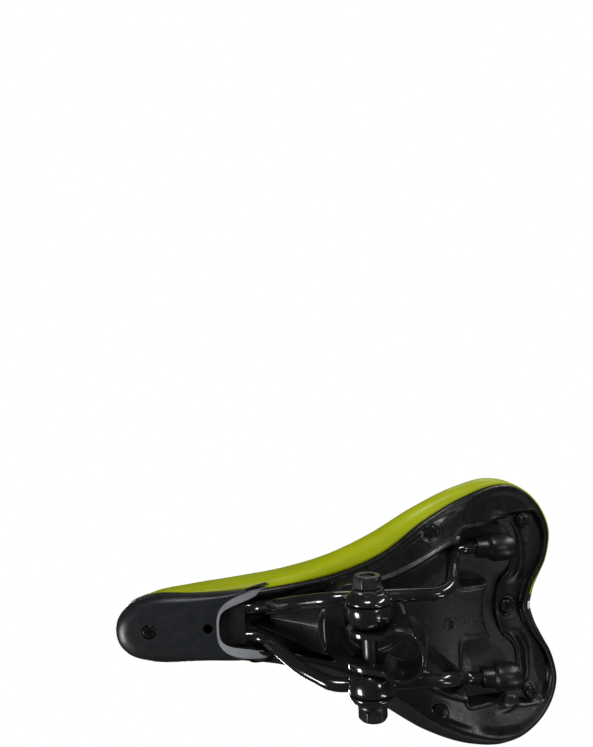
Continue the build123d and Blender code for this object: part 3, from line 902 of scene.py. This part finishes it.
def add_flow_line(z, x, y):
    """A fine raised line that crosses the panel at a slant."""
    line = hill(y - LINE_AT[1] - (x - LINE_AT[0]) * LINE_SLOPE, LINE_WIDTH)
    return z - LINE_DEPTH * line * bump(LINE_MIDDLE, LINE_HALF, x) * (np.abs(y) < LINE_REACH)


def screw_level(x, y):
    """Height of a base screw's head: the wing's there, or the middle screw's own."""
    return float(along(WING_Z, x)) if abs(y) > 1.0 else MIDDLE_SCREW_Z


def add_screw_seats(z, x, y):
    """A flat seat with a raised collar round each screw."""
    height, out, width = SEAT_COLLAR
    for sx, sy in SCREW_SPOTS:
        gap = np.hypot(x - sx, y - sy)
        z = mix(z, screw_level(sx, sy) + SEAT_RISE, 1.0 - step(*SEAT_EDGE, gap))
        z = z - height * hill(gap - out, width)
    return z


def base_height(x, y):
    """Height of the base's lower surface: a panel between two wings, and all the forms on it."""
    beyond = np.abs(y) - along(CREASE_Y, x)
    roof = mix(along(PANEL_Z, x), FRONT_ROOF, step(*FRONT_X, x))
    z = mix(roof, along(WING_Z, x), step(*CREASE_WALL, beyond))
    ridge_reach = step(*RIDGE_START, x) * (1.0 - step(*RIDGE_END, x))
    z = z - RIDGE_HEIGHT * hill(beyond - RIDGE_OUT, RIDGE_WIDTH) * ridge_reach
    z = add_hump(z, x, y)
    z = add_hub(z, x, y)
    z = add_pockets(z, x, y)
    z = add_flow_line(z, x, y)
    return add_screw_seats(z, x, y)


def base(finish):
    """The base: a shell whose lower surface carries all the moulded forms."""
    rim_z = along(RIM_Z, PLAN_X)
    rim_in = RIM_INSET + along(RIM_GROOVE, PLAN_X)
    rings = []
    for inset, rise in BASE_BORDER:
        x, y = inset_points(rim_in + inset)
        rings.append((x, y, rim_z + rise))
    edge_x, edge_y, edge_z = rings[-1]
    for k in range(1, BASE_STEPS):
        f = 1.0 - k / BASE_STEPS
        x = mix(SPINE_X, edge_x, f)
        y = edge_y * f
        blend = float(step(0.0, BORDER_BLEND, 1.0 - f))
        rings.append((x, y, mix(edge_z, base_height(x, y), blend)))
    centre = base_height(SPINE_X[1:-1], np.zeros(HALF_COUNT - 2))
    verts, faces = ring_grid(rings, centre)
    shell = new_object("base_moulding", verts, faces)
    outward(shell)
    thicken(shell, BASE_T)
    outward(shell)
    paint(shell, finish)
    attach(shell, "saddle")
    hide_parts("base_shell")


def plate_between(x_range, y, half, z_range):
    """A standing plate, thinner at its lower edge, as moulded ribs are."""
    verts = []
    for z, share in zip(z_range, WEB_TAPER):
        for x, side in ((x_range[0], -1), (x_range[1], -1), (x_range[1], 1), (x_range[0], 1)):
            verts.append((x, y + side * half * share, z))
    faces = [(3, 2, 1, 0), (4, 5, 6, 7), (0, 1, 5, 4), (1, 2, 6, 5), (2, 3, 7, 6), (3, 0, 4, 7)]
    return verts, faces


def rear_socket(side):
    """The stepped moulded tube that holds a rail's rear end, and the web that hangs it."""
    name = "rear_socket_" + ("left" if side > 0 else "right")
    y = side * SOCKET_Y
    tube = lathe(name, SOCKET_PROFILE, (SOCKET_X, y, SOCKET_Z), (-1, 0, 0))
    sharp_edges(tube, 50.0)
    web = new_object(name + "_web", *plate_between(WEB_X, y, WEB_HALF, WEB_Z), smooth=False)
    return [tube, web]


def mould_insert():
    """A plain round mould insert on the panel: a raised ring round a flat disc."""
    x, y = INSERT_AT
    z = float(base_height(np.array([x]), np.array([y]))[0])
    ring = lathe("mould_insert", INSERT_PROFILE, (x, y, z), (0, 0, 1), count=48)
    sharp_edges(ring, 35.0)
    return ring


def base_details(finish):
    """The pieces that are moulded in one with the base."""
    for piece in rear_socket(1) + rear_socket(-1) + [mould_insert()]:
        paint(piece, finish)
        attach(piece, "saddle")


# ---------------------------------------------------------------- nose cover
def curve_points(points, stations):
    """Points on a smooth curve that ends square to the centre line; stations count its given points."""
    whole = points + [(x, -y, z) for x, y, z in reversed(points[:-1])]
    pts = np.array(whole, float)
    steps = np.sqrt((np.diff(pts, axis=0) ** 2).sum(axis=1))
    chord = np.concatenate([[0.0], np.cumsum(steps)])
    run = np.interp(stations, np.arange(len(points)), chord[:len(points)])
    return [along(list(zip(chord, pts[:, k])), run) for k in range(3)]


def nose_skin():
    """The nose cover's outer surface: rounded sides, flat bottom and the bevelled U-shaped cut."""
    past_widest = np.arange(HALF_COUNT) > HALF_COUNT // 3
    first = int(np.argmax((PLAN_X > NOSE_COVER_X) & past_widest))
    x = PLAN_X[first:]
    y = PLAN_Y[first:]
    nx = NORMAL_X[first:]
    ny = NORMAL_Y[first:]
    wall = along(NOSE_WALL_IN, x)
    top = along(NOSE_WALL_TOP, x)
    spread = along(NOSE_ROUND, x)
    lowest = along(NOSE_LOW, x)
    rise = np.minimum(along(NOSE_RISE, x), top - lowest - NOSE_WALL_LEAST)
    rings = [(x - nx * wall, y - ny * wall, top)]
    for angle in np.linspace(0.0, 90.0, NOSE_ROUND_STEPS):
        phi = math.radians(angle)
        inset = wall + spread * (1 - math.cos(phi))
        rings.append((x - nx * inset, y - ny * inset, lowest + rise * (1 - math.sin(phi))))
    flat_x, flat_y, flat_z = rings[-1]
    last_mark = float(len(CUT_MARKS) - 1)
    stations = np.interp(x, CUT_MARKS, np.arange(len(CUT_MARKS), dtype=float))
    ahead = int(np.argmax(x > CUT_MARKS[-1]))
    stations[ahead:] = np.linspace(last_mark, len(CUT_EDGE) - 1, len(x) - ahead)
    cut_x, cut_y, cut_z = curve_points(CUT_EDGE, stations)
    inner_x, inner_y, inner_z = curve_points(CUT_INNER, stations)
    for k in range(1, NOSE_FLAT_STEPS + 1):
        t = k / NOSE_FLAT_STEPS
        rings.append((mix(flat_x, cut_x, t), mix(flat_y, cut_y, t), mix(flat_z, cut_z, t)))
    bevel_start = len(rings) - 1
    for t in BEVEL_SHARES:
        rings.append((mix(cut_x, inner_x, t), mix(cut_y, inner_y, t), mix(cut_z, inner_z, t)))
    bevel_end = len(rings) - 1
    for lift in CUT_LIFTS:
        rings.append((inner_x, inner_y, np.minimum(inner_z + lift, CUT_TOP_Z)))
    skin = new_object("nose_shell", *strip_grid(rings))
    skin.data.materials.append(satin_plastic())
    skin.data.materials.append(painted_light_bevel())
    across = 2 * (len(x) - 1)
    # The bevel's faces take the pale grey of painted light; the rest keep the black satin plastic.
    for face in skin.data.polygons:
        if bevel_start <= face.index // across < bevel_end:
            face.material_index = 1
    return skin


def face_down(obj):
    """Joins doubled points, and turns the faces of an open surface so that its flat bottom looks down."""
    bm = bmesh.new()
    bm.from_mesh(obj.data)
    bmesh.ops.remove_doubles(bm, verts=bm.verts, dist=0.02 * MM)
    bmesh.ops.recalc_face_normals(bm, faces=bm.faces)
    largest = max(bm.faces, key=lambda f: f.calc_area())
    if largest.normal.z > 0:
        bmesh.ops.reverse_faces(bm, faces=bm.faces)
    bm.to_mesh(obj.data)
    bm.free()


def nose_cover():
    """The boat-shaped cover under the nose, with its round hole and the sink for its screw."""
    shell = nose_skin()
    face_down(shell)
    thicken(shell, NOSE_COVER_T)
    outward(shell)
    holes = (
        ("hole_cutter", NOSE_HOLE_X, NOSE_HOLE_R, NOSE_HOLE_TOP),
        ("sink_cutter", NOSE_SCREW_X, NOSE_SINK_R, NOSE_SINK_TOP),
    )
    for name, x, radius, top in holes:
        cutter = lathe(name, [(radius, CUTTER_BELOW), (radius, top)], (x, 0.0, NOSE_COVER_Z), (0, 0, 1))
        cut(shell, cutter)
    sharp_edges(shell, 38.0)
    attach(shell, "saddle")
    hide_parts("nose_cover")


# ---------------------------------------------------------------- clamp
def softened(node, width, body, finish):
    """A copy of a CAD piece with the fine rounded edges that forging, pressing and plating leave."""
    mesh = frame["nodes"][node].data.copy()
    piece = from_mesh(node + "_finished", mesh, smooth=False)
    bm = bmesh.new()
    bm.from_mesh(mesh)
    bmesh.ops.remove_doubles(bm, verts=bm.verts, dist=0.004 * MM)
    bmesh.ops.dissolve_limit(bm, angle_limit=math.radians(1.0), verts=bm.verts, edges=bm.edges)
    bm.to_mesh(mesh)
    bm.free()
    soft = piece.modifiers.new("soft edges", "BEVEL")
    soft.width = width * MM
    soft.segments = 3
    soft.limit_method = "ANGLE"
    soft.angle_limit = math.radians(35.0)
    soft.use_clamp_overlap = True
    apply_modifiers(piece)
    sharp_edges(piece, 40.0)
    paint(piece, finish)
    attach(piece, body)
    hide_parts(node)


def dome_profile():
    """The outer cheek's: a rim, a rounded shoulder and a flat end."""
    profile = list(DOME_RIM)
    for angle in np.linspace(*DOME_ANGLES, DOME_STEPS):
        a = math.radians(angle)
        profile.append((CHEEK_R * math.cos(a), DOME_START + DOME_RISE * math.sin(a)))
    return profile + [DOME_END]


def bell_profile():
    """The inner cheek's: a quarter-round flare from its neck out to its rim."""
    profile = []
    for t in np.linspace(0.0, 1.0, BELL_STEPS):
        flare = math.sqrt(1.0 - (1.0 - t) ** 2)
        profile.append((BELL_NECK + (CHEEK_R - BELL_NECK) * flare, BELL_START + BELL_LENGTH * t))
    return profile + BELL_RIM


def cheeks(side, finish):
    """The two cheeks of one side: a bell inside the rail and a dome outside it, both grooved for it."""
    word = "left" if side > 0 else "right"
    groove_profile = [(GROOVE_R, -GROOVE_HALF), (GROOVE_R, GROOVE_HALF)]
    for name, profile in (("outer_cheek", dome_profile()), ("inner_cheek", bell_profile())):
        piece = lathe(name + "_" + word + "_turned", profile, (BOLT_X, 0.0, BOLT_Z), (0, side, 0), count=72)
        cut(piece, lathe("groove", groove_profile, (BOLT_X, side * RAIL_Y, RAIL_Z), (1, 0, 0)))
        sharp_edges(piece, 36.0)
        paint(piece, finish)
        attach(piece, "clamp_head")
        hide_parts(name + "_" + word)


def metal_parts():
    """New finishes for the CAD rails, screws and anchor, and detailed shapes for the clamp."""
    painted = painted_steel()
    plated = bolt_steel()
    screws = screw_steel()
    finishes = {
        "rail_left": painted,
        "rail_right": painted,
        "base_screws": screws,
        "nose_screw": screws,
        "nose_anchor": anchor_plastic(),
    }
    for node, finish in finishes.items():
        paint(frame["nodes"][node], finish)
    cheeks(1, painted)
    cheeks(-1, painted)
    softened("seatpost_collar", 0.45, "collar", painted)
    softened("clamp_bolt", 0.3, "clamp_head", plated)
    for side in ("left", "right"):
        softened("nut_" + side, 0.35, side + "_nut", plated)
        softened("washer_" + side, 0.3, side + "_washer", plated)


# ---------------------------------------------------------------- camera, lights and stage
def camera():
    data = bpy.data.cameras.new("camera")
    data.sensor_fit = "VERTICAL"
    data.sensor_height = SENSOR
    data.sensor_width = SENSOR
    data.lens = CAMERA_LENS
    data.clip_start = 0.01
    data.clip_end = 20.0
    obj = bpy.data.objects.new("camera", data)
    turn = Matrix((CAMERA_RIGHT, CAMERA_UP, CAMERA_BACK)).transposed()
    obj.matrix_world = Matrix.Translation(Vector(CAMERA_AT) * MM) @ turn.to_4x4()
    bpy.context.scene.collection.objects.link(obj)
    bpy.context.scene.camera = obj


def soft_light(name, at, width, power, height):
    """An area light that throws a narrow soft beam at the middle of the saddle."""
    data = bpy.data.lights.new(name, "AREA")
    data.shape = "RECTANGLE"
    data.size = width
    data.size_y = height
    data.energy = power
    data.spread = math.radians(LIGHT_SPREAD)
    obj = bpy.data.objects.new(name, data)
    obj.location = at
    aim = Vector(LIGHT_AIM) - Vector(at)
    obj.rotation_euler = aim.to_track_quat("-Z", "Y").to_euler()
    bpy.context.scene.collection.objects.link(obj)


def sun_light(name, turn, power):
    data = bpy.data.lights.new(name, "SUN")
    data.energy = power
    data.angle = math.radians(SUN_ANGLE)
    obj = bpy.data.objects.new(name, data)
    obj.rotation_euler = [math.radians(a) for a in turn]
    bpy.context.scene.collection.objects.link(obj)


def world():
    """A white surround, dimmer to the surfaces than to the camera, as a lit studio sweep is."""
    made = bpy.data.worlds.new("studio")
    made.use_nodes = True
    nodes = made.node_tree.nodes
    links = made.node_tree.links
    background = nodes["Background"]
    background.inputs["Color"].default_value = (1.0, 1.0, 1.0, 1.0)
    background.inputs["Strength"].default_value = SURROUND
    seen = nodes.new("ShaderNodeBackground")
    seen.inputs["Color"].default_value = (1.0, 1.0, 1.0, 1.0)
    seen.inputs["Strength"].default_value = 1.0
    ray = nodes.new("ShaderNodeLightPath")
    choose = nodes.new("ShaderNodeMixShader")
    links.new(ray.outputs["Is Camera Ray"], choose.inputs["Fac"])
    links.new(background.outputs["Background"], choose.inputs[1])
    links.new(seen.outputs["Background"], choose.inputs[2])
    links.new(choose.outputs["Shader"], nodes["World Output"].inputs["Surface"])
    bpy.context.scene.world = made


def stage():
    """A white floor far below, which neither reflects in the saddle nor lights it."""
    reach = FLOOR_REACH / MM
    low = FLOOR_Z / MM
    corners = [(-reach, -reach, low), (reach, -reach, low), (reach, reach, low), (-reach, reach, low)]
    floor = new_object("floor", corners, [(0, 1, 2, 3)])
    paint(floor, floor_material())
    floor.visible_glossy = False
    floor.visible_diffuse = False


def lights():
    for light in AREA_LIGHTS:
        soft_light(*light)
    for light in SUN_LIGHTS:
        sun_light(*light)


# ---------------------------------------------------------------- build
bpy.context.scene.view_settings.view_transform = "Standard"
world()
camera()
stage()
lights()
cover()
cushion()
board()
moulded = base_plastic()
base(moulded)
base_details(moulded)
nose_cover()
metal_parts()
